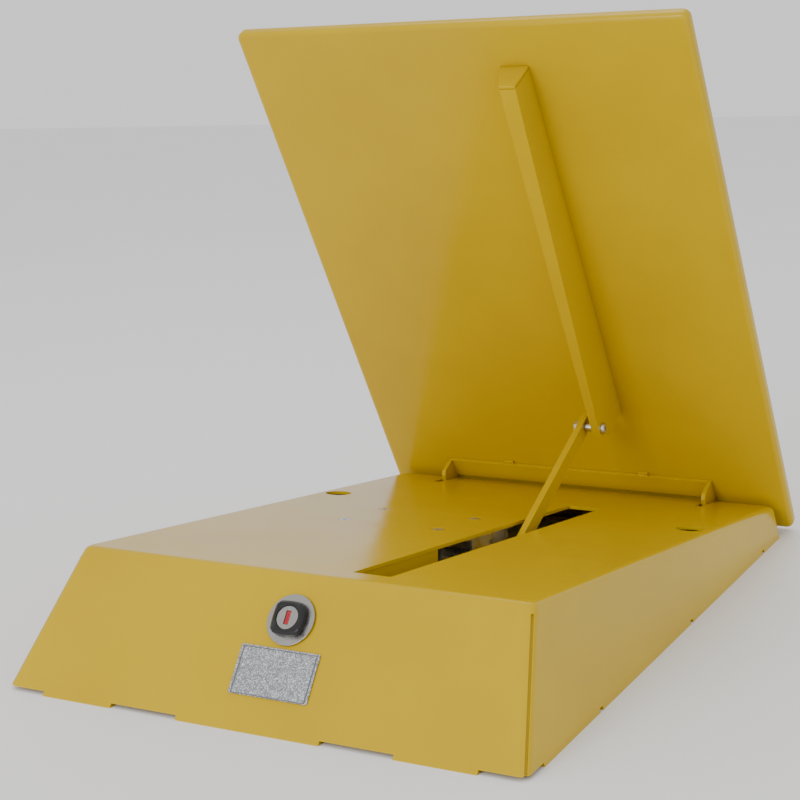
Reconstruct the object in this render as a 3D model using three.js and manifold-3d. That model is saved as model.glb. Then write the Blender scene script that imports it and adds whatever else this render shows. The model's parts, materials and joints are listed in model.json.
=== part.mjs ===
// Folding parking barrier: a low wedge-shaped steel base, a flap hinged at its low rear edge,
// and a stay arm that holds the flap raised. A key lock in the front draws back the latch bolt
// that keeps the arm's foot from sliding forward. The rest pose is the raised flap.
//
// Units are millimetres, +Z up, front of the base towards -Y. Most pieces are drawn in the deck
// frame: X to the right, Y to the rear along the sloping deck, Z square to the deck, with the
// origin at the middle of the deck's front fold.

import * as THREE from 'three';
import { mergeVertices } from 'three/addons/utils/BufferGeometryUtils.js';
import Module from 'manifold-3d';

const wasm = await Module();
wasm.setup();

const DEG = Math.PI / 180;

// ---- driving dimensions -------------------------------------------------------------------

const deckWidth = 420;
const deckLength = 552;
const frontHeight = 104; // front fold above the ground
const rearHeight = 30; // rear fold above the ground
const sheet = 3; // base and flap sheet
const bendRadius = 6; // outside radius of the folds
const frontLean = 30 * DEG; // front wall from the deck's square
const sideLean = 14 * DEG;
const cornerRadius = 7;
const seamGap = 2.6; // groove where the front and side walls meet
const seamDepth = 2.1;
const fit = 0.3; // gap between touching pieces

const flapOverhang = 13.5; // beyond the deck on all four sides
const flapDepth = 10;
const flapClearance = 7; // closed flap above the deck
const flapSkin = 2.4;
const flapCorner = 7;
const openAngle = 54.6 * DEG; // flap from closed to raised

const hingeDepth = 15; // axle below the deck
const hingeInset = 14.6; // axle in front of the deck's rear edge
const hingePin = 10;
const hingeBore = 10.8;
const earSpread = 293; // between the centres of the two ears
const earSheet = 4;
const earBoss = 10; // radius round the pin
const bracketHeight = 25; // web of the flap bracket
const bracketFoot = 6; // web's lower edge above the flap's hinge line

const slotLeft = 40;
const slotRight = 74.5;
const slotFront = 25;
const slotRear = 434;

const channelFootLeft = 42; // where the slanted side meets the flap
const channelSlant = 0.375; // how far the slanted side leans right per mm of depth
const channelRight = 70;
const channelDepth = 34; // at the top end
const channelSheet = 3;
const channelTop = deckLength - 50; // top end above the flap's hinge line
const channelSideEnd = 168; // the slanted side stops here, to let the arm's tail swing
const channelWebEnd = 122;
const channelFoot = 110;

const pivotRise = 128; // pivot above the flap's hinge line
const pivotDepth = 46; // pivot from the flap's face
const pivotBolt = 6;
const pivotEar = 7.5; // flange radius round the pivot

const armThickness = 6;
const armWidth = 15;
const armLeft = 46.7;
const armTail = 20; // beyond the pivot
const shoeThickness = 5.5;
const armFold = 90 * DEG; // arm's swing on the flap over the flap's whole travel

const boltDiameter = 9;
const boltCollar = 9.5; // radius
const boltTravel = 18;
const springWire = 0.8; // radius
const latchWallRight = 34; // outer face of the latch plate's right ear
const latchWallLeft = -112;
const latchScrewX = [-98.4, -0.4];
const latchScrewFront = 34.367; // front pair, ahead of the bolt
const latchScrewRear = 37.933; // rear pair, behind the bolt
const latchMargin = 12;
const latchSheet = 3;
const latchDrop = 44;
const screwHead = 12;
const screwShank = 6;

const accessHole = 26;
const accessInset = 21.7; // hole centre in from the deck's side edge
const accessX = deckWidth / 2 - accessInset;
const accessY = 373.8;

const lockX = 12.4;
const lockDown = 39.2; // down the front wall from the fold
const rosetteDiameter = 42;
const rosetteThickness = 2;
const lockBody = 26;
const lockBulge = 0.8; // how far the body's four sides bow out
const lockCorner = 3; // corners cut back this far
const lockProud = 6;
const lockBarrel = 22;
const lockCore = 19;
const lockLength = 34; // behind the front wall
const camThrow = 9;
const keyTurn = 90 * DEG;

const labelWidth = 72;
const labelHeight = 40;
const labelX = 11;
const labelDown = 82.8;
const labelThickness = 0.8;

const flangeThickness = 3;
const flangeWidth = 20; // turned in along the ground
const frontNotches = [[-260, -199], [-130, -66], [66, 130], [199, 260]];
const sideNotches = [62, 273, 484];
const notchWidth = 6;

const anchorPlate = 46;
const anchorThickness = 5;
const anchorHole = 13;

// ---- values worked out from them ----------------------------------------------------------

const tilt = Math.asin((frontHeight - rearHeight) / deckLength);
const halfDeck = deckWidth / 2;
const frontSlope = Math.tan(frontLean);
const sideSlope = Math.tan(sideLean);
const hingeY = deckLength - hingeInset;
const hingeZ = -hingeDepth;
const faceHeight = hingeDepth + flapClearance; // flap's face above the axle when closed
// The flap's hinge line is where its face meets the deck plane when raised.
const hingeLine = (faceHeight * Math.cos(openAngle) - hingeDepth) / Math.sin(openAngle);
const slotCentre = (slotLeft + slotRight) / 2;
const groundZ = (y) => (y * Math.sin(tilt) - frontHeight) / Math.cos(tilt);
const alongFlap = (rise) => -(rise - hingeLine); // rise above the hinge line, as a closed-pose Y
const pivotY = alongFlap(pivotRise);
const pivotZ = faceHeight - pivotDepth;
const footZ = hingeZ + pivotZ; // the foot slides at the closed pivot's depth
const armSlant = armFold - openAngle;
const pivotOpenY = hingeY + pivotY * Math.cos(openAngle) + pivotZ * Math.sin(openAngle);
const pivotOpenZ = hingeZ - pivotY * Math.sin(openAngle) + pivotZ * Math.cos(openAngle);
const armLength = (pivotOpenZ - footZ) / Math.sin(armSlant);
const footOpenY = pivotOpenY - armLength * Math.cos(armSlant);
const footClosedY = hingeY + pivotY - armLength;
const armRight = armLeft + armThickness;
// The bolt lies just above the closed arm and just in front of the raised one.
const boltRadius = boltDiameter / 2;
const boltZ = footZ + armWidth / 2 + boltRadius + 0.6;
const boltReach = (boltZ - footZ - (armWidth / 2) * Math.cos(armSlant)) / Math.tan(armSlant);
const boltY = footOpenY + boltReach - ((armWidth / 2) * Math.sin(armSlant))
  - (boltRadius + 0.6) / Math.sin(armSlant);
const latchScrewY = [boltY - latchScrewFront, boltY + latchScrewRear];

// ---- helpers ------------------------------------------------------------------------------

function solid(geometry) {
  const bare = geometry.clone();
  bare.deleteAttribute('normal');
  bare.deleteAttribute('uv');
  const merged = mergeVertices(bare, 1e-4);
  return new wasm.Manifold(new wasm.Mesh({
    numProp: 3,
    vertProperties: new Float32Array(merged.attributes.position.array),
    triVerts: new Uint32Array(merged.index.array),
  }));
}

function geometryOf(manifold) {
  const mesh = manifold.getMesh();
  const geometry = new THREE.BufferGeometry();
  geometry.setAttribute('position', new THREE.BufferAttribute(new Float32Array(mesh.vertProperties), 3));
  geometry.setIndex(new THREE.BufferAttribute(new Uint32Array(mesh.triVerts), 1));
  geometry.computeVertexNormals();
  return geometry;
}

function cut(geometry, ...tools) {
  let result = solid(geometry);
  for (const tool of tools) {
    result = result.subtract(solid(tool));
  }
  return geometryOf(result);
}

function join(geometry, ...others) {
  let result = solid(geometry);
  for (const other of others) {
    result = result.add(solid(other));
  }
  return geometryOf(result);
}

function common(geometry, other) {
  return geometryOf(solid(geometry).intersect(solid(other)));
}

function box(x0, x1, y0, y1, z0, z1) {
  const geometry = new THREE.BoxGeometry(x1 - x0, y1 - y0, z1 - z0);
  return geometry.translate((x0 + x1) / 2, (y0 + y1) / 2, (z0 + z1) / 2);
}

function roundX(radius, x0, x1, y, z, sides = 32) {
  const geometry = new THREE.CylinderGeometry(radius, radius, x1 - x0, sides);
  return geometry.rotateZ(-Math.PI / 2).translate((x0 + x1) / 2, y, z);
}

function roundZ(radius, z0, z1, x, y, sides = 32) {
  const geometry = new THREE.CylinderGeometry(radius, radius, z1 - z0, sides);
  return geometry.rotateX(Math.PI / 2).translate(x, y, (z0 + z1) / 2);
}

function hexX(acrossFlats, x0, x1, y, z) {
  return roundX(acrossFlats / Math.sqrt(3), x0, x1, y, z, 6);
}

function hexZ(acrossFlats, z0, z1, x, y) {
  return roundZ(acrossFlats / Math.sqrt(3), z0, z1, x, y, 6);
}

// An outline in (y, z), extruded from x0 to x1.
function sideProfile(outline, x0, x1, curveSegments = 10) {
  const options = { depth: x1 - x0, bevelEnabled: false, curveSegments };
  const geometry = new THREE.ExtrudeGeometry(outline, options);
  const turn = new THREE.Matrix4().makeBasis(
    new THREE.Vector3(0, 1, 0),
    new THREE.Vector3(0, 0, 1),
    new THREE.Vector3(1, 0, 0),
  );
  return geometry.applyMatrix4(turn).translate(x0, 0, 0);
}

function plan(outline, z0, z1, curveSegments = 8) {
  const options = { depth: z1 - z0, bevelEnabled: false, curveSegments };
  return new THREE.ExtrudeGeometry(outline, options).translate(0, 0, z0);
}

function polygon(points) {
  return new THREE.Shape(points.map(([x, y]) => new THREE.Vector2(x, y)));
}

function roundedRectangle(x0, x1, y0, y1, radius) {
  const shape = new THREE.Shape();
  shape.moveTo(x0 + radius, y0);
  shape.lineTo(x1 - radius, y0);
  shape.absarc(x1 - radius, y0 + radius, radius, -Math.PI / 2, 0);
  shape.lineTo(x1, y1 - radius);
  shape.absarc(x1 - radius, y1 - radius, radius, 0, Math.PI / 2);
  shape.lineTo(x0 + radius, y1);
  shape.absarc(x0 + radius, y1 - radius, radius, Math.PI / 2, Math.PI);
  shape.lineTo(x0, y0 + radius);
  shape.absarc(x0 + radius, y0 + radius, radius, Math.PI, Math.PI * 1.5);
  return shape;
}

// The convex outline round a set of circles and points, each [y, z, radius].
function wrapped(circles, steps = 48) {
  const points = [];
  for (let i = 0; i < steps; i += 1) {
    const angle = (2 * Math.PI * i) / steps;
    const cosine = Math.cos(angle);
    const sine = Math.sin(angle);
    let best = circles[0];
    let reach = -Infinity;
    for (const circle of circles) {
      const extent = circle[0] * cosine + circle[1] * sine + circle[2];
      if (extent > reach + 1e-9) {
        reach = extent;
        best = circle;
      }
    }
    const point = [best[0] + best[2] * cosine, best[1] + best[2] * sine];
    const last = points[points.length - 1];
    if (!last || Math.hypot(point[0] - last[0], point[1] - last[1]) > 0.01) {
      points.push(point);
    }
  }
  const [first, last] = [points[0], points[points.length - 1]];
  if (Math.hypot(first[0] - last[0], first[1] - last[1]) <= 0.01) {
    points.pop();
  }
  return polygon(points);
}

// A closed solid through level outlines with the same number of points.
function loft(rings) {
  const count = rings[0].length;
  const vertices = rings.flat(2);
  const faces = [];
  for (let level = 0; level < rings.length - 1; level += 1) {
    for (let i = 0; i < count; i += 1) {
      const a = level * count + i;
      const b = level * count + ((i + 1) % count);
      faces.push(a, b, b + count, a, b + count, a + count);
    }
  }
  const top = (rings.length - 1) * count;
  for (let i = 1; i < count - 1; i += 1) {
    faces.push(0, i + 1, i, top, top + i, top + i + 1);
  }
  const geometry = new THREE.BufferGeometry();
  geometry.setAttribute('position', new THREE.Float32BufferAttribute(vertices, 3));
  geometry.setIndex(faces);
  geometry.computeVertexNormals();
  return geometry;
}

function ring(x0, x1, y0, y1, radius, z, cornerSteps = 4) {
  const corners = [[x1, y0, -90], [x1, y1, 0], [x0, y1, 90], [x0, y0, 180]];
  const points = [];
  for (const [x, y, start] of corners) {
    const cx = x === x1 ? x1 - radius : x0 + radius;
    const cy = y === y1 ? y1 - radius : y0 + radius;
    for (let i = 0; i <= cornerSteps; i += 1) {
      const angle = (start + (90 * i) / cornerSteps) * DEG;
      points.push([cx + radius * Math.cos(angle), cy + radius * Math.sin(angle), z]);
    }
  }
  return points;
}

// How far a folded wall's surface lies inside the fold's virtual edge, at height z.
// The surface lies `inward` millimetres inside the outer skin.
function foldInset(lean, z, inward) {
  const slope = Math.tan(lean);
  const centre = bendRadius / Math.cos(lean) - slope * bendRadius;
  const radius = bendRadius - inward;
  const tangent = -bendRadius + radius * Math.sin(lean);
  if (z >= tangent) {
    return centre - Math.sqrt(Math.max(0, radius ** 2 - (z + bendRadius) ** 2));
  }
  return slope * z + inward / Math.cos(lean);
}

const materials = {
  paint: [0xd9a90e, 0.38, 0.0],
  zinc: [0xb9bcc0, 0.35, 0.9],
  stainless: [0xc4c6c8, 0.28, 1.0],
  blackMetal: [0x1b1b1d, 0.45, 0.4],
  nylon: [0x26282a, 0.55, 0.0],
  redPlastic: [0xb0202a, 0.5, 0.0],
  foil: [0xbfc3c7, 0.3, 0.8],
};

function piece(parent, name, geometry, finish) {
  const [color, roughness, metalness] = materials[finish];
  const mesh = new THREE.Mesh(geometry, new THREE.MeshStandardMaterial({ color, roughness, metalness }));
  mesh.name = name;
  parent.add(mesh);
  return mesh;
}

// ---- groups -------------------------------------------------------------------------------

const barrier = new THREE.Group();

const deck = new THREE.Group();
deck.rotation.x = -tilt;
deck.position.z = frontHeight;
barrier.add(deck);

const flap = new THREE.Group();
flap.position.set(0, hingeY, hingeZ);
flap.rotation.x = -openAngle;
deck.add(flap);

const arm = new THREE.Group();
arm.position.set(0, pivotY, pivotZ);
arm.rotation.x = armFold;
flap.add(arm);

// The lock's own frame: Z points out of the front wall, Y up the wall.
const lock = new THREE.Group();
lock.position.set(lockX, -lockDown * Math.sin(frontLean), -lockDown * Math.cos(frontLean));
lock.rotation.x = Math.PI / 2 - frontLean;
deck.add(lock);

// ---- base ---------------------------------------------------------------------------------

function wedge(inward, lowest) {
  const levels = [lowest, -bendRadius * 1.2];
  const steps = 6;
  const radius = bendRadius - inward;
  for (let i = 0; i <= steps; i += 1) {
    levels.push(-bendRadius + radius * Math.sin((Math.PI / 2) * (i / steps)));
  }
  return loft(levels.map((z) => {
    const side = foldInset(sideLean, z, inward);
    const front = foldInset(frontLean, z, inward);
    const rear = foldInset(0, z, inward);
    const corner = Math.max(0.8, cornerRadius - inward);
    return ring(side - halfDeck, halfDeck - side, front, deckLength - rear, corner, z);
  }));
}

function belowGround(clearance) {
  const reach = 2000;
  const geometry = new THREE.BoxGeometry(reach, reach, reach);
  geometry.translate(0, 0, clearance - frontHeight - reach / 2);
  return geometry.rotateX(tilt);
}

function countersink(x, y) {
  const rim = screwHead / 2 + 0.4;
  const hole = screwShank / 2 + 0.5;
  const rimDepth = 0.7;
  const depth = sheet + fit - rimDepth;
  const cone = new THREE.CylinderGeometry(rim, hole, depth, 28);
  cone.rotateX(Math.PI / 2).translate(x, y, -rimDepth - depth / 2);
  return [cone, roundZ(rim, -rimDepth - 0.01, 2, x, y, 28), roundZ(hole, -sheet * 2, 2, x, y, 28)];
}

// A groove down the corner between two walls, from just under the fold to the ground.
function cornerSeam(side) {
  const half = seamGap / 2 / Math.SQRT2;
  const skin = cornerRadius * (1 - Math.SQRT1_2); // the rounded corner lies this far in, each way
  const inner = skin + seamDepth / Math.SQRT2;
  const outer = -5;
  return loft([-200, -bendRadius - 2].map((z) => {
    const x = halfDeck - sideSlope * z;
    const y = frontSlope * z;
    const points = [
      [x - outer - half, y + outer - half, z],
      [x - outer + half, y + outer + half, z],
      [x - inner + half, y + inner + half, z],
      [x - inner - half, y + inner - half, z],
    ];
    return side > 0 ? points : points.map(([px, py, pz]) => [-px, py, pz]).reverse();
  }));
}

// A solid drawn on the ground, moved into the deck frame.
function fromGround(geometry) {
  return geometry.translate(0, 0, -frontHeight).rotateX(tilt);
}

function aboveGround(clearance) {
  const reach = 2000;
  const geometry = new THREE.BoxGeometry(reach, reach, reach);
  geometry.translate(0, 0, clearance - frontHeight + reach / 2);
  return geometry.rotateX(tilt);
}

// Where the outer skin meets the ground, in ground millimetres behind the deck's front fold.
function footprint() {
  const frontZ = groundZ(0) / (1 - frontSlope * Math.tan(tilt));
  const toGround = (y, z) => y * Math.cos(tilt) + z * Math.sin(tilt);
  return {
    front: toGround(frontSlope * frontZ, frontZ),
    rear: toGround(deckLength, groundZ(deckLength)),
    frontHalf: halfDeck - sideSlope * frontZ,
    rearHalf: halfDeck - sideSlope * groundZ(deckLength),
  };
}

function halfWidthAt(y) {
  const foot = footprint();
  const share = (y - foot.front) / (foot.rear - foot.front);
  return foot.frontHalf + (foot.rearHalf - foot.frontHalf) * share;
}

function groundOpening() {
  const foot = footprint();
  const y0 = foot.front + flangeWidth;
  const y1 = foot.rear - flangeWidth;
  const half0 = halfWidthAt(y0) - flangeWidth;
  const half1 = halfWidthAt(y1) - flangeWidth;
  const outline = polygon([[-half0, y0], [half0, y0], [half1, y1], [-half1, y1]]);
  return fromGround(plan(outline, -5, flangeThickness + 5));
}

function flangeNotches() {
  const foot = footprint();
  const height = flangeThickness + 0.3;
  const wide = flangeWidth + 12;
  const notches = [];
  for (const [from, to] of frontNotches) {
    notches.push(box(from, to, foot.front - 9, foot.front + wide, -5, height));
  }
  for (const y of sideNotches) {
    for (const side of [-1, 1]) {
      const x = side * halfWidthAt(y);
      const [a, b] = side > 0 ? [x - wide, x + 9] : [x - 9, x + wide];
      notches.push(box(a, b, y - notchWidth / 2, y + notchWidth / 2, -5, height));
    }
  }
  return notches.map(fromGround);
}

function makeBase() {
  const inside = common(wedge(sheet, -240), aboveGround(flangeThickness));
  const tools = [inside, belowGround(0), groundOpening(), ...flangeNotches()];
  tools.push(box(slotLeft, slotRight, slotFront, slotRear, -sheet * 3, 5));
  for (const x of latchScrewX) {
    for (const y of latchScrewY) {
      tools.push(...countersink(x, y));
    }
  }
  for (const side of [-1, 1]) {
    tools.push(roundZ(accessHole / 2, -sheet * 3, 5, side * accessX, accessY, 40));
    const ear = (side * earSpread) / 2;
    const half = earSheet / 2 + 1.6;
    tools.push(box(ear - half, ear + half, hingeY - bracketHeight - 8, deckLength + 5, -12, 5));
    tools.push(cornerSeam(side));
  }
  const lockHole = new THREE.CylinderGeometry(lockBarrel / 2 + 0.4, lockBarrel / 2 + 0.4, 40, 32);
  lockHole.rotateX(Math.PI / 2);
  lock.updateMatrix();
  tools.push(lockHole.applyMatrix4(lock.matrix));
  piece(deck, 'base_shell', cut(wedge(0, -220), ...tools), 'paint');
}

// Plates under the access holes, lying on the side flanges, that take the ground anchors.
function makeAnchorPlates() {
  const y = accessY * Math.cos(tilt) + groundZ(accessY) * Math.sin(tilt);
  const half = anchorPlate / 2;
  const bottom = flangeThickness + fit;
  for (const [side, name] of [[-1, 'left'], [1, 'right']]) {
    const x = side * accessX;
    const outline = roundedRectangle(x - half, x + half, y - half, y + half, 5);
    const hole = roundZ(anchorHole / 2, 0, 20, x, y, 28);
    const pad = cut(plan(outline, bottom, bottom + anchorThickness), hole);
    piece(deck, `${name}_anchor_plate`, fromGround(pad), 'zinc');
  }
}

// ---- trough for the stay arm --------------------------------------------------------------

function makeTrough() {
  const top = -sheet - fit;
  const wall = 2.5;
  const floorTop = footZ - armWidth / 2 - 1.8;
  const wallBottom = (y) => Math.max(groundZ(y) + flangeThickness + 4, floorTop - 8);
  const run = (from, to) => polygon([
    [from, top],
    [from, wallBottom(from)],
    [to, wallBottom(to)],
    [to, top],
  ]);
  const right = slotRight + 1;
  piece(deck, 'trough_right_wall', sideProfile(run(slotFront - 4, slotRear + 6), right, right + wall), 'paint');
  const left = slotLeft - 1;
  piece(deck, 'trough_left_wall', sideProfile(run(slotFront - 4, slotFront + 143), left - wall, left), 'paint');
  const from = footClosedY - 18;
  const to = footOpenY + 24;
  const floor = polygon([
    [from, floorTop - 3],
    [to, floorTop - 3],
    [to, floorTop],
    [from, floorTop],
  ]);
  piece(deck, 'foot_slide', sideProfile(floor, left + fit, right - fit), 'zinc');
}

// ---- hinge --------------------------------------------------------------------------------

function makeHinge() {
  const cheek = 4;
  const reach = earSheet / 2 + 1.2;
  for (const [side, name] of [[-1, 'left'], [1, 'right']]) {
    const centre = (side * earSpread) / 2;
    const profile = wrapped([
      [hingeY, hingeZ, 9],
      [hingeY - 26, -sheet - fit - 0.5, 0.5],
      [hingeY + 8, -sheet - fit - 0.5, 0.5],
    ]);
    const outer = sideProfile(profile, centre + reach, centre + reach + cheek);
    const inner = sideProfile(profile, centre - reach - cheek, centre - reach);
    const bridge = box(centre - reach - cheek / 2, centre + reach + cheek / 2,
      hingeY - 40, hingeY - 34, -sheet - fit - 4, -sheet - fit);
    const arms = [-1, 1].map((way) => box(
      centre + way * (reach + cheek / 2) - cheek / 2,
      centre + way * (reach + cheek / 2) + cheek / 2,
      hingeY - 40,
      hingeY - 20,
      -sheet - fit - 4,
      -sheet - fit,
    ));
    const bore = roundX(hingePin / 2 + 0.15, centre - 20, centre + 20, hingeY, hingeZ);
    const cheeks = cut(join(outer, inner, bridge, ...arms), bore);
    piece(deck, `${name}_hinge_cheeks`, cheeks, 'zinc');
    const pinEnd = reach + cheek + 3.4;
    const headed = join(
      roundX(hingePin / 2, centre - pinEnd, centre + pinEnd, hingeY, hingeZ),
      roundX(7.5, side > 0 ? centre - pinEnd - 2.5 : centre + pinEnd,
        side > 0 ? centre - pinEnd : centre + pinEnd + 2.5, hingeY, hingeZ),
    );
    const grooveAt = centre + side * (reach + cheek + 1.3);
    const groove = cut(
      roundX(hingePin, grooveAt - 0.7, grooveAt + 0.7, hingeY, hingeZ),
      roundX(hingePin / 2 - 0.6, grooveAt - 2, grooveAt + 2, hingeY, hingeZ),
    );
    piece(deck, `${name}_hinge_pin`, cut(headed, groove), 'zinc');
    const clip = cut(
      roundX(7.4, grooveAt - 0.4, grooveAt + 0.4, hingeY, hingeZ),
      roundX(hingePin / 2 - 0.3, grooveAt - 2, grooveAt + 2, hingeY, hingeZ),
      box(grooveAt - 2, grooveAt + 2, hingeY - 2.2, hingeY + 2.2, hingeZ - 10, hingeZ),
    );
    piece(deck, `${name}_hinge_clip`, clip, 'zinc');
  }
}

// ---- flap, drawn as if closed, about the hinge axle ---------------------------------------

const flapHalf = halfDeck + flapOverhang;
const flapFront = -flapOverhang - hingeY;
const flapRear = deckLength + flapOverhang - hingeY;

function makeFlap() {
  const bottom = faceHeight;
  const top = faceHeight + flapDepth;
  const radius = 4.5;
  const steps = 5;
  const levels = [];
  for (let i = 0; i <= steps; i += 1) {
    const angle = (Math.PI / 2) * (i / steps);
    levels.push([radius * (1 - Math.sin(angle)), bottom + radius * (1 - Math.cos(angle))]);
  }
  levels.push([0, top]);
  const skin = loft(levels.map(([inset, z]) => ring(
    inset - flapHalf, flapHalf - inset, flapFront + inset, flapRear - inset, flapCorner - inset * 0.9, z,
  )));
  const innerLevels = [];
  for (let i = 0; i <= steps; i += 1) {
    const angle = (Math.PI / 2) * (i / steps);
    const small = radius - sheet;
    innerLevels.push([
      sheet + small * (1 - Math.sin(angle)),
      bottom + sheet + small * (1 - Math.cos(angle)),
    ]);
  }
  innerLevels.push([sheet, top + 5]);
  const hollow = loft(innerLevels.map(([inset, z]) => ring(
    inset - flapHalf, flapHalf - inset, flapFront + inset, flapRear - inset, flapCorner - sheet, z,
  )));
  piece(flap, 'flap_tray', cut(skin, hollow), 'paint');
  const inset = sheet + fit;
  piece(flap, 'flap_outer_skin', plan(roundedRectangle(
    inset - flapHalf, flapHalf - inset, flapFront + inset, flapRear - inset, flapCorner - inset + 0.4,
  ), top - flapSkin, top), 'paint');
}

function makeBracket() {
  const web = 3;
  const low = alongFlap(bracketFoot);
  const high = alongFlap(bracketFoot + bracketHeight - 4);
  const face = faceHeight - fit;
  const earHalf = earSpread / 2 + earSheet / 2;
  const outline = wrapped([
    [0, 0, earBoss],
    [low, face - 0.2, 0.2],
    [high, face - 0.2, 0.2],
    [high + 7, faceHeight - 18, 7],
  ], 72);
  const ears = [-1, 1].map((side) => {
    const centre = (side * earSpread) / 2;
    return sideProfile(outline, centre - earSheet / 2, centre + earSheet / 2);
  });
  const strip = box(-earHalf, earHalf, high, low, face - web, face);
  const tabs = [-1, 1].map((side) => box(side * 76 - 5, side * 76 + 5, high - 4, high + 1, face - 2.4, face));
  const bore = roundX(hingeBore / 2, -earHalf - 5, earHalf + 5, 0, 0);
  piece(flap, 'flap_hinge_bracket', cut(join(strip, ...ears, ...tabs), bore), 'paint');
}

// An outline in (x, z), extruded from y0 to y1.
function acrossFlap(outline, y0, y1) {
  const options = { depth: y1 - y0, bevelEnabled: false };
  const geometry = new THREE.ExtrudeGeometry(polygon(outline), options);
  return geometry.rotateX(Math.PI / 2).translate(0, y1, 0);
}

// The web's outer face deepens evenly from the channel's top end to the pivot, as [y, z].
function webLine() {
  return [
    [alongFlap(channelTop), faceHeight - channelDepth],
    [alongFlap(pivotRise + 12), faceHeight - pivotDepth - pivotEar],
    [alongFlap(channelWebEnd), faceHeight - pivotDepth - pivotEar],
  ];
}

// Leans a solid to the right as it gets deeper, so that its left face follows the slanted side.
function leaned(geometry) {
  const lean = new THREE.Matrix4().set(
    1, 0, -channelSlant, channelSlant * faceHeight,
    0, 1, 0, 0,
    0, 0, 1, 0,
    0, 0, 0, 1,
  );
  return geometry.applyMatrix4(lean);
}

function makeChannel() {
  const face = faceHeight - fit;
  const top = alongFlap(channelTop);
  const foot = alongFlap(channelFoot);
  const line = webLine();
  const outline = polygon([
    [top, face],
    ...line,
    [pivotY + 9, pivotZ - 2],
    [foot, pivotZ + 15],
    [foot, face],
  ].reverse());
  const flange = sideProfile(outline, channelRight - channelSheet, channelRight);
  const inner = [...line].reverse().map(([y, z]) => [y, z + channelSheet]);
  const strip = sideProfile(polygon([...line, ...inner].reverse()), channelFootLeft, channelRight);
  const web = common(strip, leaned(box(channelFootLeft, 200, top - 5, foot, -60, faceHeight + 5)));
  const sideEnd = alongFlap(channelSideEnd);
  const wall = sideProfile(polygon([
    [top, face],
    ...line,
    [foot, face],
  ].reverse()), channelFootLeft, channelFootLeft + channelSheet);
  const side = cut(leaned(wall), box(0, 200, sideEnd, foot + 20, -60, faceHeight + 5));
  const bore = roundX(pivotBolt / 2 + 0.2, channelRight - 10, channelRight + 5, pivotY, pivotZ, 24);
  const boltPath = roundX(boltRadius + 1.5, channelFootLeft - 5, channelRight - 6,
    boltY - hingeY, boltZ - hingeZ, 28);
  piece(flap, 'stay_channel', cut(join(flange, web, side), bore, boltPath), 'paint');
  const deep = faceHeight - channelDepth;
  const plate = acrossFlap([
    [channelFootLeft, face],
    [channelRight, face],
    [channelRight, deep],
    [channelFootLeft + channelSlant * channelDepth, deep],
  ], top - fit - channelSheet, top - fit);
  piece(flap, 'channel_end_plate', plate, 'paint');
}

// ---- stay arm, drawn as if closed, about its pivot ----------------------------------------

function makeArm() {
  const bar = wrapped([
    [armTail - armWidth / 2, 0, armWidth / 2],
    [-armLength, 0, armWidth / 2],
  ]);
  const bore = roundX(pivotBolt / 2 + 0.25, armLeft - 5, armRight + 5, 0, 0, 24);
  const footBore = roundX(2.8, armLeft - 5, armRight + 5, -armLength, 0, 24);
  piece(arm, 'stay_arm', cut(sideProfile(bar, armLeft, armRight), bore, footBore), 'paint');
  const shoeRight = armLeft - fit;
  const shoeLeft = shoeRight - shoeThickness;
  const shoe = cut(
    sideProfile(wrapped([[-armLength + 9, 0, armWidth / 2], [-armLength, 0, armWidth / 2]]),
      shoeLeft, shoeRight),
    roundX(2.8, shoeLeft - 2, shoeRight + 2, -armLength, 0, 24),
  );
  piece(arm, 'foot_shoe', shoe, 'nylon');
  const rivet = join(
    roundX(2.5, shoeLeft - 1.9, armRight + 1.9, -armLength, 0, 20),
    roundX(4.4, shoeLeft - 1.9, shoeLeft - 0.3, -armLength, 0, 20),
    roundX(4.4, armRight + 0.3, armRight + 1.9, -armLength, 0, 20),
  );
  piece(arm, 'foot_rivet', rivet, 'zinc');
}

function makePivot() {
  const flangeInner = channelRight - channelSheet;
  const y = pivotY;
  const z = pivotZ;
  const headHeight = 3.1;
  const headFace = channelRight + fit;
  const profile = [
    new THREE.Vector2(0, 0),
    new THREE.Vector2(5.4, 0),
    new THREE.Vector2(5.4, 1.1),
    new THREE.Vector2(4.6, 2.4),
    new THREE.Vector2(3.2, headHeight),
    new THREE.Vector2(0, headHeight),
  ];
  const head = new THREE.LatheGeometry(profile, 28).rotateZ(-Math.PI / 2).translate(headFace, y, z);
  const shank = roundX(pivotBolt / 2, armLeft - 5.2, headFace + 1, y, z, 24);
  const recess = [0, 90].map((turn) => {
    const bar = new THREE.BoxGeometry(3, 1.1, 4.6).rotateX(turn * DEG);
    return bar.translate(headFace + headHeight, y, z);
  });
  piece(flap, 'pivot_screw', cut(join(head, shank), ...recess), 'zinc');
  const spacer = cut(
    roundX(4.1, armRight + fit, flangeInner - fit, y, z, 28),
    roundX(pivotBolt / 2 + 0.25, armRight - 2, flangeInner + 2, y, z, 24),
  );
  piece(flap, 'pivot_spacer', spacer, 'zinc');
  const nutOuter = armLeft - fit - 4.6;
  const nut = cut(
    hexX(10, nutOuter, armLeft - fit, y, z),
    roundX(pivotBolt / 2 + 0.15, nutOuter - 3, armLeft + 3, y, z, 24),
  );
  piece(flap, 'pivot_nut', nut, 'zinc');
}

// ---- latch under the deck -----------------------------------------------------------------

const boltRest = latchWallRight + 1; // tip of the drawn-back bolt
const boltLength = 170;
const leverZ = boltZ + 9; // top face of the release lever
const leverHookX = latchWallRight - 58;

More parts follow.
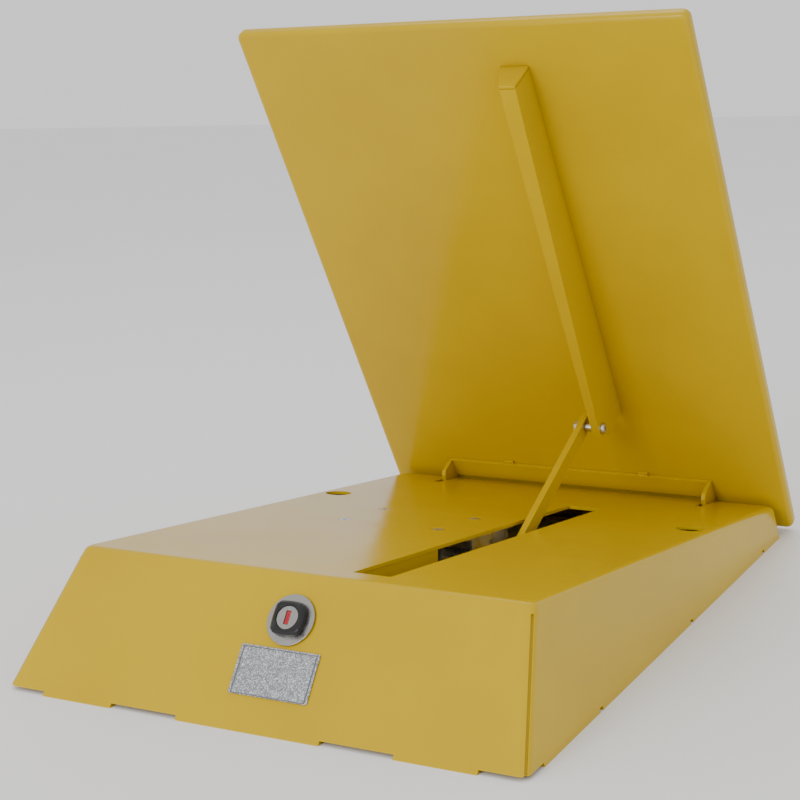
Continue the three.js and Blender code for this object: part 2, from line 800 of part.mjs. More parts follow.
function makeLatch() {
  const top = -sheet - fit;
  const y0 = latchScrewY[0] - latchMargin;
  const y1 = latchScrewY[1] + latchMargin;
  const plate = box(latchWallLeft, latchWallRight, y0, y1, top - latchSheet, top);
  const ears = [
    box(latchWallRight - latchSheet, latchWallRight, y0 + 12, y1 - 12, top - latchDrop, top - 1),
    box(latchWallLeft, latchWallLeft + latchSheet, y0 + 20, y1 - 20, top - latchDrop, top - 1),
  ];
  const holes = [roundX(boltRadius + 0.3, latchWallLeft - 5, latchWallRight + 5, boltY, boltZ, 28)];
  for (const x of latchScrewX) {
    for (const y of latchScrewY) {
      holes.push(roundZ(screwShank / 2 + 0.4, top - 10, top + 2, x, y, 24));
    }
  }
  piece(deck, 'latch_plate', cut(join(plate, ...ears), ...holes), 'zinc');

  const tail = boltRest - boltLength;
  const tip = new THREE.CylinderGeometry(boltRadius - 1.2, boltRadius, 1.5, 28);
  tip.rotateZ(-Math.PI / 2).translate(boltRest - 0.75, boltY, boltZ);
  const bolt = join(
    roundX(boltRadius, tail, boltRest - 1.5, boltY, boltZ, 28),
    tip,
    roundX(boltCollar, leverHookX - 14, leverHookX - 10, boltY, boltZ, 28),
    roundX(boltCollar, leverHookX + 10, leverHookX + 14, boltY, boltZ, 28),
  );
  piece(deck, 'latch_bolt', bolt, 'zinc');

  makeSpring(latchWallLeft + latchSheet + 0.3 + springWire, leverHookX - 14.3 - springWire);
  const screws = [];
  for (const x of latchScrewX) {
    for (const y of latchScrewY) {
      screws.push([x, y]);
    }
  }
  screws.forEach(([x, y], index) => makeLatchScrew(x, y, index + 1));
}

class Coil extends THREE.Curve {
  constructor(x0, x1, radius, turns) {
    super();
    Object.assign(this, { x0, x1, radius, turns });
  }

  getPoint(t, target = new THREE.Vector3()) {
    const angle = 2 * Math.PI * this.turns * t;
    return target.set(
      this.x0 + (this.x1 - this.x0) * t,
      boltY + this.radius * Math.cos(angle),
      boltZ + this.radius * Math.sin(angle),
    );
  }
}

function makeSpring(from, to) {
  const turns = 11;
  const section = new THREE.Shape();
  section.absarc(0, 0, springWire, 0, Math.PI * 2);
  const path = new Coil(from, to, boltRadius + 0.4 + springWire, turns);
  const geometry = new THREE.ExtrudeGeometry(section, {
    steps: turns * 14,
    curveSegments: 3,
    extrudePath: path,
  });
  piece(deck, 'latch_spring', geometry, 'zinc');
}

function makeLatchScrew(x, y, number) {
  const depth = (screwHead - screwShank) / 2;
  const bottom = -sheet - latchSheet - 7.5;
  const head = new THREE.LatheGeometry([
    new THREE.Vector2(0, -depth),
    new THREE.Vector2(screwShank / 2, -depth),
    new THREE.Vector2(screwHead / 2, -0.4),
    new THREE.Vector2(screwHead / 2, 0),
    new THREE.Vector2(0, 0),
  ], 28).rotateX(Math.PI / 2).translate(x, y, -0.1);
  const shank = roundZ(screwShank / 2 - 0.1, bottom, -depth + 0.5, x, y, 24);
  const recess = [0, 90].map((turn) => {
    const bar = new THREE.BoxGeometry(5.4, 1.3, 3).rotateZ((turn + 20 * number) * DEG);
    return bar.translate(x, y, 0);
  });
  piece(deck, `latch_screw_${number}`, cut(join(head, shank), ...recess), 'zinc');
  const under = -sheet - fit - latchSheet - fit;
  const nut = cut(
    hexZ(10, under - 4.6, under, x, y),
    roundZ(screwShank / 2 + 0.15, under - 8, under + 2, x, y, 24),
  );
  piece(deck, `latch_nut_${number}`, nut, 'zinc');
}

// ---- lock, drawn about the key's axis, Z out of the wall ----------------------------------

// The lock body's outline: a square with bowed sides and cut corners, shrunk by `inset`.
function lockOutline(inset, z) {
  const half = lockBody / 2 - inset;
  const flat = half - lockCorner + inset * 0.5;
  const points = [];
  for (const quarter of [0, 90, 180, 270]) {
    const turn = quarter * DEG;
    for (let i = -3; i <= 3; i += 1) {
      const across = (flat * i) / 3;
      const out = half + lockBulge * (1 - (i / 3) ** 2);
      points.push([
        out * Math.cos(turn) - across * Math.sin(turn),
        out * Math.sin(turn) + across * Math.cos(turn),
        z,
      ]);
    }
  }
  return points;
}

function makeLock() {
  const wall = -sheet - fit;
  const rosette = cut(
    roundZ(rosetteDiameter / 2, fit, fit + rosetteThickness, 0, 0, 48),
    roundZ(lockBarrel / 2 + 0.3, -5, 10, 0, 0, 32),
  );
  piece(lock, 'lock_rosette', rosette, 'stainless');
  const front = fit * 2 + rosetteThickness;
  const rings = [
    lockOutline(0, front),
    lockOutline(0, front + lockProud - 1.6),
    lockOutline(1.8, front + lockProud),
  ];
  const body = cut(
    join(
      loft(rings),
      roundZ(lockBarrel / 2, wall - 16, front + 1, 0, 0, 36),
    ),
    roundZ(lockCore / 2 + 0.3, -60, 40, 0, 0, 36),
  );
  piece(lock, 'lock_housing', body, 'blackMetal');
  const nut = cut(
    hexZ(30, wall - 6, wall, 0, 0),
    roundZ(lockBarrel / 2 + 0.2, wall - 10, wall + 5, 0, 0, 36),
  );
  piece(lock, 'lock_nut', nut, 'zinc');
  const faceZ = front + lockProud - 0.8;
  const keyway = box(-2.2, 2.2, -5.6, 5.6, faceZ - 2.2, faceZ + 2);
  const core = cut(
    roundZ(lockCore / 2, -lockLength, faceZ, 0, 0, 36),
    keyway,
  );
  piece(lock, 'lock_core', core, 'stainless');
  const shutter = cut(
    box(-1.9, 1.9, -5.3, 5.3, faceZ - 1.9, faceZ - 0.7),
    box(-0.5, 0.5, -3.6, 3.6, faceZ - 1.3, faceZ + 1),
  );
  piece(lock, 'key_shutter', shutter, 'redPlastic');
  makeCam();
}

function makeCam() {
  const top = -lockLength - fit;
  const start = keyTurn / 2;
  const pinX = camThrow * Math.sin(start);
  const pinY = camThrow * Math.cos(start);
  const disc = join(
    roundZ(lockCore / 2 + 4, top - 3, top, 0, 0, 36),
    roundZ(2.5, top - 17, top - 1, pinX, pinY, 20),
  );
  piece(lock, 'lock_cam', cut(disc, roundZ(2.1, top - 10, top + 5, 0, 0, 20)), 'zinc');
  const screw = join(
    roundZ(3.6, top - 3 - fit - 2.2, top - 3 - fit, 0, 0, 20),
    roundZ(1.8, top - 4, top + 0.1, 0, 0, 20),
  );
  piece(lock, 'cam_screw', screw, 'zinc');
}

function makeLabel() {
  const low = lockDown - labelDown - labelHeight / 2;
  const left = labelX - lockX - labelWidth / 2;
  const outline = roundedRectangle(left, left + labelWidth, low, low + labelHeight, 1.5);
  piece(lock, 'label_plate', plan(outline, fit, fit + labelThickness), 'foil');
}

// ---- release lever between the cam and the bolt -------------------------------------------

function camPinAtRest() {
  const along = -lockLength - fit - 9;
  const start = keyTurn / 2;
  const point = new THREE.Vector3(camThrow * Math.sin(start), camThrow * Math.cos(start), along);
  lock.updateMatrix();
  return point.applyMatrix4(lock.matrix);
}

const camPin = camPinAtRest();
const leverSheet = 3;
const fingerY = boltY - 7; // rear face of the lever's finger, between the collars
const leverGain = boltTravel / (2 * camThrow * Math.sin(keyTurn / 2));
const leverPivotY = (fingerY + leverGain * camPin.y) / (1 + leverGain);
const leverPivotX = (camPin.x + leverHookX) / 2;

// A flat lever with its front end turned down to the cam's pin and its rear end to the bolt.
function makeLever() {
  const half = 9;
  const slotHalf = 3.4;
  const tabY = camPin.y + 3;
  const tabLow = camPin.z - 9;
  const underside = leverZ - leverSheet;
  const lever = plan(polygon([
    [camPin.x - half, tabY],
    [camPin.x + half, tabY],
    [leverPivotX + 12, leverPivotY],
    [leverHookX + 6, fingerY],
    [leverHookX - 6, fingerY],
    [leverPivotX - 12, leverPivotY],
  ]), underside, leverZ);
  const tab = box(camPin.x - half, camPin.x + half, tabY, tabY + leverSheet, tabLow, leverZ);
  const finger = box(leverHookX - 6, leverHookX + 6, fingerY - leverSheet * 2, fingerY, boltZ - 6, leverZ);
  const hub = roundZ(4.4, leverZ - 10, leverZ + 10, leverPivotX, leverPivotY, 28);
  const slot = box(camPin.x - slotHalf, camPin.x + slotHalf, tabY - 5, tabY + 9, tabLow - 1, camPin.z + 7);
  piece(deck, 'release_lever', cut(join(lever, tab, finger), hub, slot), 'zinc');
  const stud = join(
    roundZ(4, underside - 5, -sheet - fit, leverPivotX, leverPivotY, 28),
    roundZ(8, leverZ + fit, -sheet - fit, leverPivotX, leverPivotY, 28),
  );
  piece(deck, 'lever_stud', stud, 'zinc');
  const clip = cut(
    roundZ(7, underside - fit - 1.4, underside - fit, leverPivotX, leverPivotY, 28),
    roundZ(4.2, underside - 8, leverZ + 2, leverPivotX, leverPivotY, 28),
  );
  piece(deck, 'lever_clip', clip, 'zinc');
}

// ---- assembly -----------------------------------------------------------------------------

makeBase();
makeAnchorPlates();
makeTrough();
makeHinge();
makeFlap();
makeBracket();
makeChannel();
makeArm();
makePivot();
makeLatch();
makeLock();
makeLabel();
makeLever();

// The origin is at the middle of the model's bounding box, on the ground.
barrier.updateMatrixWorld(true);
const extent = new THREE.Box3().setFromObject(barrier, true);
deck.position.y = -(extent.min.y + extent.max.y) / 2;
for (const child of barrier.children) {
  if (child !== deck) {
    child.position.y = deck.position.y;
  }
}

export default barrier;
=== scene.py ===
# %% [markdown]
# # A folding parking barrier in powder-coated sheet steel
#
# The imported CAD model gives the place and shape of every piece. This script rounds the
# edges of each sheet and fitting, dresses every surface with a procedural material, and
# sets a pale studio around the object. Everything is in metres, Z up, front towards -Y.

import json
import math

import bmesh
import bpy
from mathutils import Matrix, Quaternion, Vector


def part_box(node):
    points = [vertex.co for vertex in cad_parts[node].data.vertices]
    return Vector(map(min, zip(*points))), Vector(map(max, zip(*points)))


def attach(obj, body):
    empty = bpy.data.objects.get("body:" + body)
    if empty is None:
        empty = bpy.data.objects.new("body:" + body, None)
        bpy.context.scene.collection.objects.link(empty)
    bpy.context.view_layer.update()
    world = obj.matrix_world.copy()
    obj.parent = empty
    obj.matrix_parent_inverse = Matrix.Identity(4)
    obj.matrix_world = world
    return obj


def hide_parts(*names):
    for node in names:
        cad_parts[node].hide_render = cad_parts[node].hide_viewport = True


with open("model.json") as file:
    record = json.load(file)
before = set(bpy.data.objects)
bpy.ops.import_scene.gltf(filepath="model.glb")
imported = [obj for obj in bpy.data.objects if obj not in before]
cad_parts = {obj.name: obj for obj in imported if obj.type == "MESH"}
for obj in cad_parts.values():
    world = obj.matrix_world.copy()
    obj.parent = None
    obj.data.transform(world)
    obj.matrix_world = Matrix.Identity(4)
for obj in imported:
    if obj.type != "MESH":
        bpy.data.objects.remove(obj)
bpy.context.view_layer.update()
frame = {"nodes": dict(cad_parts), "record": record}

# %% [markdown]
# ## Small helpers for shader nodes
#
# `Graph` adds nodes to a tree from left to right and wires them by socket name, so that a
# material reads as a list of steps. A name such as `i0` means the socket with that number.


# %% Node helper
class Graph:
    def __init__(self, tree):
        self.tree = tree
        self.column = 0

    def add(self, kind, settings=None, **inputs):
        node = self.tree.nodes.new(kind)
        node.location = (self.column * 190, -(self.column % 4) * 160)
        self.column += 1
        for key, value in (settings or {}).items():
            setattr(node, key, value)
        for key, value in inputs.items():
            self.wire(node, key.replace("_", " "), value)
        return node

    def wire(self, node, name, value):
        by_number = name[0] == "i" and name[1:].isdigit()
        socket = node.inputs[int(name[1:])] if by_number else node.inputs[name]
        if isinstance(value, bpy.types.NodeSocket):
            self.tree.links.new(value, socket)
        else:
            socket.default_value = value

    def math(self, operation, a, b=0.0, clamp=False):
        settings = {"operation": operation, "use_clamp": clamp}
        return self.add("ShaderNodeMath", settings, i0=a, i1=b).outputs[0]

    def ramp(self, value, low, high, to_low=0.0, to_high=1.0):
        settings = {"interpolation_type": "SMOOTHSTEP"}
        node = self.add("ShaderNodeMapRange", settings, Value=value)
        node.inputs["From Min"].default_value = low
        node.inputs["From Max"].default_value = high
        node.inputs["To Min"].default_value = to_low
        node.inputs["To Max"].default_value = to_high
        return node.outputs["Result"]

    def mix(self, factor, a, b):
        node = self.add("ShaderNodeMix", {"data_type": "RGBA"})
        self.wire(node, "i0", factor)
        self.wire(node, "i6", a)
        self.wire(node, "i7", b)
        return node.outputs[2]

    def noise(self, vector, scale, detail=2.0, roughness=0.5):
        inputs = {"Vector": vector, "Scale": scale, "Detail": detail, "Roughness": roughness}
        return self.add("ShaderNodeTexNoise", **inputs).outputs["Fac"]


def effect(name, inputs, outputs):
    """An empty node group with named sockets, and the graph that fills it."""
    tree = bpy.data.node_groups.new(name, "ShaderNodeTree")
    for label, kind, default in inputs:
        socket = tree.interface.new_socket(label, in_out="INPUT", socket_type=kind)
        if default is not None:
            socket.default_value = default
    for label, kind in outputs:
        tree.interface.new_socket(label, in_out="OUTPUT", socket_type=kind)
    graph = Graph(tree)
    given = graph.add("NodeGroupInput").outputs
    result = tree.nodes.new("NodeGroupOutput")
    result.location = (2600, 0)
    return graph, given, result


VECTOR, FLOAT = "NodeSocketVector", "NodeSocketFloat"

# %% [markdown]
# ## Orange peel
#
# Powder coat flows out into low rounded waves a few millimetres across, with a finer ripple
# on top. The group gives the height of that skin, for a Bump node in the material.

# %% Group: orange peel
graph, given, result = effect(
    "Orange peel",
    [("Vector", VECTOR, None), ("Wave", FLOAT, 380.0), ("Ripple", FLOAT, 1500.0)],
    [("Height", FLOAT)],
)
broad = graph.noise(given["Vector"], given["Wave"], 1.0)
fine = graph.noise(given["Vector"], given["Ripple"], 1.0)
peel = graph.math("ADD", graph.math("MULTIPLY", broad, 0.8), graph.math("MULTIPLY", fine, 0.2))
graph.tree.links.new(peel, result.inputs["Height"])
print("group:", graph.tree.name, len(graph.tree.nodes), "nodes")

# %% [markdown]
# ## Dust
#
# Street dust settles in patches, thickest near the ground. The group gives one mask from
# height above the ground, broken up by noise.

# %% Group: dust
graph, given, result = effect(
    "Dust",
    [("Vector", VECTOR, None), ("Reach", FLOAT, 0.05), ("Amount", FLOAT, 0.5)],
    [("Mask", FLOAT)],
)
height = graph.add("ShaderNodeSeparateXYZ", Vector=given["Vector"]).outputs["Z"]
share = graph.math("DIVIDE", height, given["Reach"])
low_down = graph.ramp(share, 0.0, 1.0, 1.0, 0.12)
patches = graph.ramp(graph.noise(given["Vector"], 24.0, 6.0, 0.62), 0.38, 0.72)
specks = graph.ramp(graph.noise(given["Vector"], 420.0, 3.0, 0.6), 0.55, 0.75)
broken = graph.math(
    "ADD", graph.math("MULTIPLY", patches, 0.75), graph.math("MULTIPLY", specks, 0.35)
)
mask = graph.math("MULTIPLY", graph.math("MULTIPLY", low_down, broken), given["Amount"], True)
graph.tree.links.new(mask, result.inputs["Mask"])
print("group:", graph.tree.name, len(graph.tree.nodes), "nodes")

# %% [markdown]
# ## Hairline scratches
#
# Long thin marks come from noise stretched along one direction. The same group draws the
# grain of brushed metal when the marks are dense, and stray scratches when they are sparse.

# %% Group: hairlines
graph, given, result = effect(
    "Hairlines",
    [("Vector", VECTOR, None), ("Stretch", VECTOR, (4.0, 900.0, 900.0)),
     ("Sparse", FLOAT, 0.55)],
    [("Mask", FLOAT), ("Grain", FLOAT)],
)
drawn = graph.add("ShaderNodeVectorMath", {"operation": "MULTIPLY"}, i0=given["Vector"],
                  i1=given["Stretch"]).outputs["Vector"]
grain = graph.noise(drawn, 1.0, 3.0, 0.65)
over = graph.math("SUBTRACT", grain, given["Sparse"])
lines = graph.math("MULTIPLY", over, 9.0, True)
graph.tree.links.new(lines, result.inputs["Mask"])
graph.tree.links.new(grain, result.inputs["Grain"])
print("group:", graph.tree.name, len(graph.tree.nodes), "nodes")


# %% [markdown]
# ## Materials
#
# Each material starts from `begin`, which gives a tree with one Principled shader and the
# object's own coordinates in metres. Effects come in as the groups above.


# %% Material helpers
def begin(name):
    material = bpy.data.materials.new(name)
    material.use_nodes = True
    graph = Graph(material.node_tree)
    shader = material.node_tree.nodes["Principled BSDF"]
    shader.location = (2400, 0)
    material.node_tree.nodes["Material Output"].location = (2750, 0)
    place = graph.add("ShaderNodeTexCoord").outputs["Object"]
    return material, graph, shader, place


def use(graph, name, **inputs):
    tree = bpy.data.node_groups[name]
    return graph.add("ShaderNodeGroup", {"node_tree": tree}, **inputs).outputs


def bump(graph, height, strength, distance):
    node = graph.add("ShaderNodeBump", Height=height, Strength=strength, Distance=distance)
    return node.outputs["Normal"]


def edge_highlight_mask(graph, radius):
    """1 on outer edges, where a rounded normal turns away from the true one; used to paint a
    highlight there.
    """
    rounded = graph.add("ShaderNodeBevel", {"samples": 4}, Radius=radius).outputs["Normal"]
    true = graph.add("ShaderNodeNewGeometry").outputs["Normal"]
    node = graph.add("ShaderNodeVectorMath", {"operation": "DOT_PRODUCT"}, i0=rounded, i1=true)
    return graph.ramp(node.outputs["Value"], 0.995, 0.80)


def corner_shade(graph, reach):
    """1 in the open, falling to 0 in corners and gaps."""
    node = graph.add("ShaderNodeAmbientOcclusion", {"samples": 8}, Distance=reach)
    return node.outputs["AO"]


# %% [markdown]
# ### Yellow powder coat
#
# The coat is thick and glossy. Its tone drifts a little over each panel. Corners and gaps get a
# painted shade from an occlusion mask, and outer edges get a painted highlight in a lighter yellow.
# A light haze of dust and a few hairlines change the gloss more than the colour.

# %% Material: powder coat
PAINT = (0.58, 0.385, 0.0, 1.0)
# The next colour is a darker yellow, used for random tone drift and for painted shade in corners.
PAINT_DRIFT_AND_CORNER_SHADE = (0.47, 0.29, 0.0, 1.0)
# The next colour is a brighter yellow, used for the painted highlight on outer edges and for
# hairline scratches.
PAINT_HIGHLIGHT_AND_SCRATCH = (0.80, 0.55, 0.004, 1.0)
PAINT_DUST = (0.38, 0.27, 0.02, 1.0)


def powder_coat():
    material, graph, shader, place = begin("Yellow powder coat")
    drift = graph.ramp(graph.noise(place, 7.0, 4.0, 0.55), 0.3, 0.7)
    tone = graph.mix(graph.math("MULTIPLY", drift, 0.35), PAINT, PAINT_DRIFT_AND_CORNER_SHADE)
    # Painted shade: corners and gaps, found by ambient occlusion, are darkened towards the darker
    # yellow.
    open_air = graph.ramp(corner_shade(graph, 0.012), 0.25, 0.9)
    tone = graph.mix(graph.math("SUBTRACT", 1.0, open_air), tone, PAINT_DRIFT_AND_CORNER_SHADE)
    # Painted highlight: outer edges, found from the bevel normal, are lightened towards the
    # brighter yellow.
    edges = graph.math("MULTIPLY", edge_highlight_mask(graph, 0.0012), 0.45)
    tone = graph.mix(edges, tone, PAINT_HIGHLIGHT_AND_SCRATCH)
    dust = use(graph, "Dust", Vector=place, Reach=0.035, Amount=0.10)["Mask"]
    tone = graph.mix(dust, tone, PAINT_DUST)
    marks = use(graph, "Hairlines", Vector=place, Stretch=(14.0, 5.0, 700.0), Sparse=0.69)["Mask"]
    tone = graph.mix(graph.math("MULTIPLY", marks, 0.2), tone, PAINT_HIGHLIGHT_AND_SCRATCH)
    graph.wire(shader, "Base Color", tone)
    smears = graph.ramp(graph.noise(place, 16.0, 5.0, 0.6), 0.35, 0.75, 0.13, 0.21)
    rough = graph.math("ADD", smears, graph.math("MULTIPLY", dust, 0.4))
    rough = graph.math("ADD", rough, graph.math("MULTIPLY", marks, 0.12), True)
    graph.wire(shader, "Roughness", rough)
    shader.inputs["Coat Weight"].default_value = 0.05
    shader.inputs["Coat Roughness"].default_value = 0.12
    shader.inputs["Specular IOR Level"].default_value = 0.22
    skin = use(graph, "Orange peel", Vector=place)["Height"]
    graph.wire(shader, "Normal", bump(graph, skin, 0.28, 0.0002))
    return material


# %% [markdown]
# ### Zinc plating and stainless steel
#
# Plated parts show a soft cloudy crystal pattern with a hint of blue and yellow. The round
# rosette is turned, so its grain runs in circles about its own axis.

# %% Materials: bare metals
def zinc_plate():
    material, graph, shader, place = begin("Zinc plate")
    crystals = graph.add("ShaderNodeTexVoronoi", Vector=place, Scale=520.0).outputs["Color"]
    grey = graph.add("ShaderNodeRGBToBW", Color=crystals).outputs[0]
    cloud = graph.ramp(graph.noise(place, 60.0, 5.0), 0.3, 0.7)
    tint = graph.mix(cloud, (0.52, 0.55, 0.60, 1), (0.66, 0.63, 0.55, 1))
    tint = graph.mix(graph.math("MULTIPLY", grey, 0.25), tint, (0.80, 0.81, 0.83, 1))
    dust = use(graph, "Dust", Vector=place, Reach=0.06, Amount=0.35)["Mask"]
    graph.wire(shader, "Base Color", graph.mix(dust, tint, (0.30, 0.27, 0.22, 1)))
    shader.inputs["Metallic"].default_value = 0.95
    lines = use(graph, "Hairlines", Vector=place, Stretch=(300.0, 30.0, 900.0), Sparse=0.6)
    scuffs = graph.math("MULTIPLY", lines["Mask"], 0.15)
    rough = graph.math("ADD", graph.ramp(cloud, 0, 1, 0.24, 0.38), scuffs)
    graph.wire(shader, "Roughness", graph.math("ADD", rough, dust, True))
    graph.wire(shader, "Normal", bump(graph, lines["Grain"], 0.12, 0.00005))
    return material


def turned_steel(centre):
    material, graph, shader, place = begin("Turned stainless steel")
    away = graph.add("ShaderNodeVectorMath", {"operation": "DISTANCE"}, i0=place, i1=centre)
    ring = away.outputs["Value"]
    spun = graph.add("ShaderNodeCombineXYZ", X=ring).outputs[0]
    grain = graph.noise(spun, 5200.0, 4.0, 0.7)
    smudge = graph.ramp(graph.noise(place, 130.0, 4.0), 0.35, 0.7)
    dark, light, smudged = (0.36, 0.35, 0.33, 1), (0.50, 0.49, 0.47, 1), (0.30, 0.27, 0.23, 1)
    tone = graph.mix(graph.math("MULTIPLY", grain, 0.5), dark, light)
    tone = graph.mix(graph.math("MULTIPLY", smudge, 0.25), tone, smudged)
    graph.wire(shader, "Base Color", tone)
    shader.inputs["Metallic"].default_value = 1.0
    graph.wire(shader, "Roughness", graph.ramp(smudge, 0, 1, 0.20, 0.36))
    graph.wire(shader, "Normal", bump(graph, grain, 0.25, 0.00004))
    return material


# %% [markdown]
# ### Lock body, nylon, shutter and label
#
# The lock body is cast and sprayed satin black, with a fine pebble. The key shutter is a
# moulded red insert. The label is a plain foil with glitter flakes and a darker border.

# %% Materials: small fittings
def pebbled(name, dark, light, rough_low, rough_high, scale, strength):
    material, graph, shader, place = begin(name)
    pebble = graph.noise(place, scale, 3.0, 0.6)
    wear = graph.ramp(graph.noise(place, 90.0, 5.0, 0.6), 0.45, 0.8)
    # Painted highlight: outer edges are lightened towards the light tone.
    edges = edge_highlight_mask(graph, 0.0006)
    tone = graph.mix(graph.math("MULTIPLY", wear, 0.4), dark, light)
    graph.wire(shader, "Base Color", graph.mix(graph.math("MULTIPLY", edges, 0.5), tone, light))
    graph.wire(shader, "Roughness", graph.ramp(wear, 0, 1, rough_low, rough_high))
    graph.wire(shader, "Normal", bump(graph, pebble, strength, 0.00008))
    return material


def glitter_foil(centre, half_width, half_height):
    material, graph, shader, place = begin("Glitter foil")
    flakes = graph.add("ShaderNodeTexVoronoi", Vector=place, Scale=1500.0).outputs["Color"]
    grey = graph.add("ShaderNodeRGBToBW", Color=flakes).outputs[0]
    bright = graph.ramp(grey, 0.55, 0.9)
    streaks = use(graph, "Hairlines", Vector=place, Stretch=(30.0, 500.0, 500.0), Sparse=0.5)
    tone = graph.mix(bright, (0.20, 0.21, 0.23, 1), (0.80, 0.82, 0.85, 1))
    tone = graph.mix(graph.math("MULTIPLY", streaks["Grain"], 0.4), tone, (0.62, 0.63, 0.64, 1))
    local = graph.add("ShaderNodeVectorMath", {"operation": "SUBTRACT"}, i0=place, i1=centre)
    parts = graph.add("ShaderNodeSeparateXYZ", Vector=local.outputs["Vector"]).outputs
    across = graph.math("DIVIDE", graph.math("ABSOLUTE", parts["X"]), half_width)
    up = graph.math("DIVIDE", graph.math("ABSOLUTE", parts["Z"]), half_height)
    edge = graph.math("MAXIMUM", across, up)
    inner = graph.ramp(edge, 0.90, 0.92)
    outer = graph.ramp(edge, 0.94, 0.96)
    border = graph.math("SUBTRACT", inner, outer, True)
    graph.wire(shader, "Base Color", graph.mix(border, tone, (0.16, 0.16, 0.17, 1)))
    shader.inputs["Metallic"].default_value = 0.85
    graph.wire(shader, "Roughness", graph.ramp(grey, 0, 1, 0.22, 0.5))
    graph.wire(shader, "Normal", bump(graph, grey, 0.35, 0.00006))
    return material


def middle(node):
    low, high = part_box(node)
    return (low + high) / 2


label_low, label_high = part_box("label_plate")
label_half = (label_high - label_low) / 2
finish = {
    "yellow_paint": powder_coat(),
    "zinc_plated": zinc_plate(),
    "stainless": turned_steel(middle("lock_rosette")),
    "black_metal": pebbled("Satin black casting", (0.004, 0.004, 0.0045, 1),
                           (0.03, 0.028, 0.028, 1), 0.26, 0.4, 2400.0, 0.3),
    "black_nylon": pebbled("Black nylon", (0.012, 0.012, 0.013, 1),
                           (0.05, 0.05, 0.05, 1), 0.45, 0.6, 1600.0, 0.4),
    "red_shutter": pebbled("Red shutter", (0.42, 0.012, 0.02, 1),
                           (0.60, 0.06, 0.06, 1), 0.3, 0.45, 1800.0, 0.25),
    "label_foil": glitter_foil(middle("label_plate"), label_half.x, label_half.z),
}
print("materials:", sorted(finish))

# %% [markdown]
# ## Edges
#
# Real sheet and turned parts have no knife edges. Each piece is taken from its CAD solid,
# its flat areas are merged back into single faces, and every sharp edge gets a small round.
# The size of the round depends on how the piece is made.

# %% Round the edges of every piece
MERGE_DISTANCE = 2e-6
FLAT_ANGLE = math.radians(0.4)
SMOOTH_ANGLE = math.radians(32)
SHARP_ANGLE = math.radians(40)
EDGE_ROUND = {
    "yellow_paint": 0.0007,
    "zinc_plated": 0.00025,
    "stainless": 0.0003,
    "black_metal": 0.0011,
    "black_nylon": 0.0008,
    "red_shutter": 0.0003,
    "label_foil": 0.0002,
}
UNROUNDED = {"latch_spring", "latch_screw_1", "latch_screw_2", "latch_screw_3", "latch_screw_4"}


def rounded_copy(node, radius):
    mesh = bmesh.new()
    mesh.from_mesh(frame["nodes"][node].data)
    bmesh.ops.remove_doubles(mesh, verts=mesh.verts, dist=MERGE_DISTANCE)
    bmesh.ops.dissolve_limit(mesh, angle_limit=FLAT_ANGLE, verts=mesh.verts, edges=mesh.edges)
    folds = [edge for edge in mesh.edges if len(edge.link_faces) == 2]
    sharp = [edge for edge in folds if edge.calc_face_angle() > SHARP_ANGLE]
    if radius and node not in UNROUNDED:
        bmesh.ops.bevel(mesh, geom=sharp, offset=radius, segments=2, profile=0.6,
                        affect="EDGES", clamp_overlap=True)
    made = bpy.data.meshes.new(node + "_finished")
    mesh.to_mesh(made)
    mesh.free()
    for polygon in made.polygons:
        polygon.use_smooth = True
    made.set_sharp_from_angle(angle=SMOOTH_ANGLE)
    piece = bpy.data.objects.new(node + "_finished", made)
    bpy.context.scene.collection.objects.link(piece)
    return piece


body_of_node = {n: b for b, ns in frame["record"]["behaviour"]["bodies"].items() for n in ns}
slot_of_node = {s["node"]: s["material_slot"] for s in frame["record"]["subparts"]}
finished = {}
for node in sorted(frame["nodes"]):
    slot = slot_of_node[node]
    piece = rounded_copy(node, EDGE_ROUND[slot])
    piece.data.materials.clear()
    piece.data.materials.append(finish[slot])
    weights = piece.modifiers.new("Face weights", "WEIGHTED_NORMAL")
    weights.keep_sharp = True
    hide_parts(node)
    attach(piece, body_of_node[node])
    finished[node] = piece
print("pieces:", len(finished), "faces:", sum(len(p.data.polygons) for p in finished.values()))

# %% [markdown]
# ## Studio
#
# A flat pale floor stands in a white world. The key light is a large soft box at the front,
# a little to the left, so the front wall is brighter than the right wall.

# %% Floor, world and lights
FLOOR_HALF = 6.0
WORLD_STRENGTH = 1.0
KEY_POWER = 38
TOP_POWER = 12
FILL_POWER = 1.5


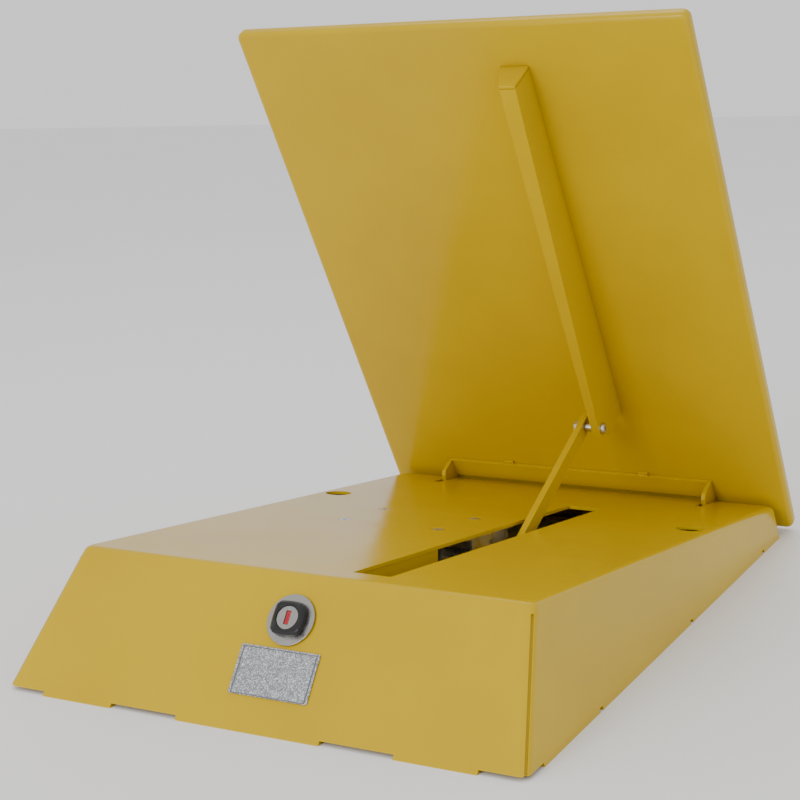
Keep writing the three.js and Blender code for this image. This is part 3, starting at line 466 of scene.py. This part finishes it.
def pale_floor():
    mesh = bpy.data.meshes.new("floor")
    corners = [(-1, -1), (1, -1), (1, 1), (-1, 1)]
    mesh.from_pydata([(x * FLOOR_HALF, y * FLOOR_HALF, 0) for x, y in corners], [], [(0, 1, 2, 3)])
    floor = bpy.data.objects.new("floor", mesh)
    bpy.context.scene.collection.objects.link(floor)
    material, graph, shader, place = begin("Pale floor")
    cloud = graph.noise(place, 3.0, 3.0)
    graph.wire(shader, "Base Color", graph.mix(cloud, (0.86, 0.86, 0.86, 1), (0.90, 0.90, 0.90, 1)))
    graph.wire(shader, "Roughness", graph.ramp(cloud, 0, 1, 0.55, 0.65))
    mesh.materials.append(material)


def soft_box(name, place, target, width, height, power):
    light = bpy.data.lights.new(name, "AREA")
    light.shape = "RECTANGLE"
    light.size, light.size_y = width, height
    light.energy = power
    lamp = bpy.data.objects.new(name, light)
    lamp.location = place
    lamp.rotation_mode = "QUATERNION"
    lamp.rotation_quaternion = (Vector(target) - Vector(place)).to_track_quat("-Z", "Y")
    bpy.context.scene.collection.objects.link(lamp)


world = bpy.data.worlds.new("Studio")
world.use_nodes = True
world.node_tree.nodes["Background"].inputs["Color"].default_value = (1.0, 1.0, 1.0, 1)
world.node_tree.nodes["Background"].inputs["Strength"].default_value = WORLD_STRENGTH
bpy.context.scene.world = world
pale_floor()
soft_box("key", (-0.5, -3.0, 1.3), (0, -0.1, 0.15), 1.2, 1.0, KEY_POWER)
soft_box("top", (-0.4, 0.9, 2.6), (0, 0, 0.1), 1.6, 1.2, TOP_POWER)
soft_box("right fill", (2.6, -0.6, 1.2), (0, 0, 0.2), 1.2, 1.6, FILL_POWER)
print("lights:", len(bpy.data.lights))

# %% [markdown]
# ## Camera
#
# A long lens looks down a little from the front right, turned slightly about its own axis.

# %% Camera
CAMERA_PLACE = Vector((0.7676, -1.3791, 0.5347))
CAMERA_LOOK = Vector((-0.49267, 0.84381, -0.21273))
CAMERA_ROLL = math.radians(-3.07)
CAMERA_LENS = 81.65
CAMERA_NEAR = 0.05

camera = bpy.data.objects.new("camera", bpy.data.cameras.new("camera"))
camera.data.lens = CAMERA_LENS
camera.data.clip_start = CAMERA_NEAR
camera.location = CAMERA_PLACE
camera.rotation_mode = "QUATERNION"
camera.rotation_quaternion = (
    CAMERA_LOOK.to_track_quat("-Z", "Y") @ Quaternion((0, 0, 1), CAMERA_ROLL)
)
bpy.context.scene.collection.objects.link(camera)
bpy.context.scene.camera = camera
print("camera:", [round(v, 3) for v in camera.location])
